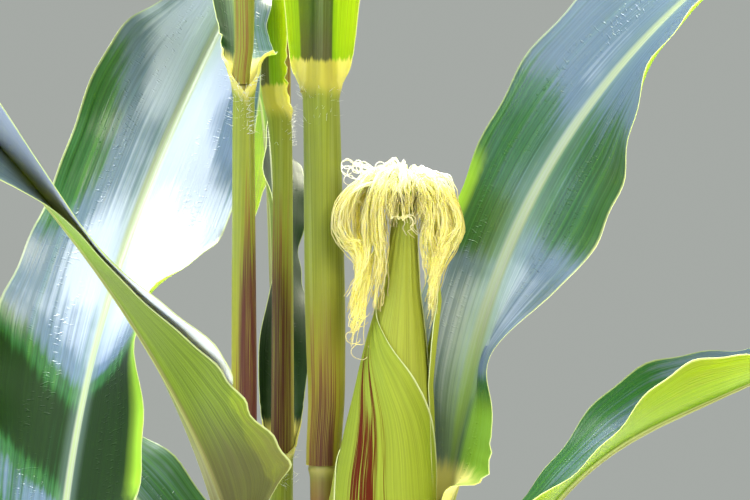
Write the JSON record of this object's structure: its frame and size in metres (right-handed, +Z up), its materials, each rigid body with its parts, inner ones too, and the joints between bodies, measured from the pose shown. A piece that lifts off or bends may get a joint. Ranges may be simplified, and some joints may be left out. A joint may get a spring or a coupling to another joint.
{
  "type": "maize plant",
  "caption": "Whole rooted maize plant, a clump of jointed stalks with sheathed arching leaves, a husked ear with fresh silk, and tassels.",
  "frame": {"origin": "middle of the flat cut under the main stalk, at ground level", "axes": "+Z up along the main stalk; -Y towards the side with the ear, +X towards the ear leaf"},
  "size_m": [1.0193, 1.1633, 2.2804],
  "materials": {
    "stalk": "satin green, streaked red brown",
    "leaf": "satin deep green, pale midrib",
    "husk": "satin yellow green",
    "silk": "soft pale yellow strands",
    "tassel": "matt straw"
  },
  "bodies": {
    "root": {"main_stalk": "stalk", "main_leaf_01": "leaf", "main_leaf_02": "leaf", "main_leaf_03": "leaf", "main_leaf_04": "leaf", "main_leaf_05": "leaf", "main_leaf_06": "leaf", "main_leaf_07": "leaf", "main_leaf_08": "leaf", "main_leaf_09": "leaf", "main_leaf_10": "leaf", "main_leaf_11": "leaf", "main_tassel": "tassel", "ear": "husk", "silk": "silk", "left_shoot_stalk": "stalk", "left_shoot_leaf_01": "leaf", "left_shoot_leaf_02": "leaf", "left_shoot_leaf_03": "leaf", "left_shoot_leaf_04": "leaf", "left_shoot_leaf_05": "leaf", "left_shoot_leaf_06": "leaf", "left_shoot_tassel": "tassel", "rear_shoot_stalk": "stalk", "rear_shoot_leaf_01": "leaf", "rear_shoot_leaf_02": "leaf", "rear_shoot_leaf_03": "leaf", "rear_shoot_leaf_04": "leaf", "rear_shoot_leaf_05": "leaf", "rear_shoot_leaf_06": "leaf", "rear_shoot_tassel": "tassel"}
  },
  "joints": []
}
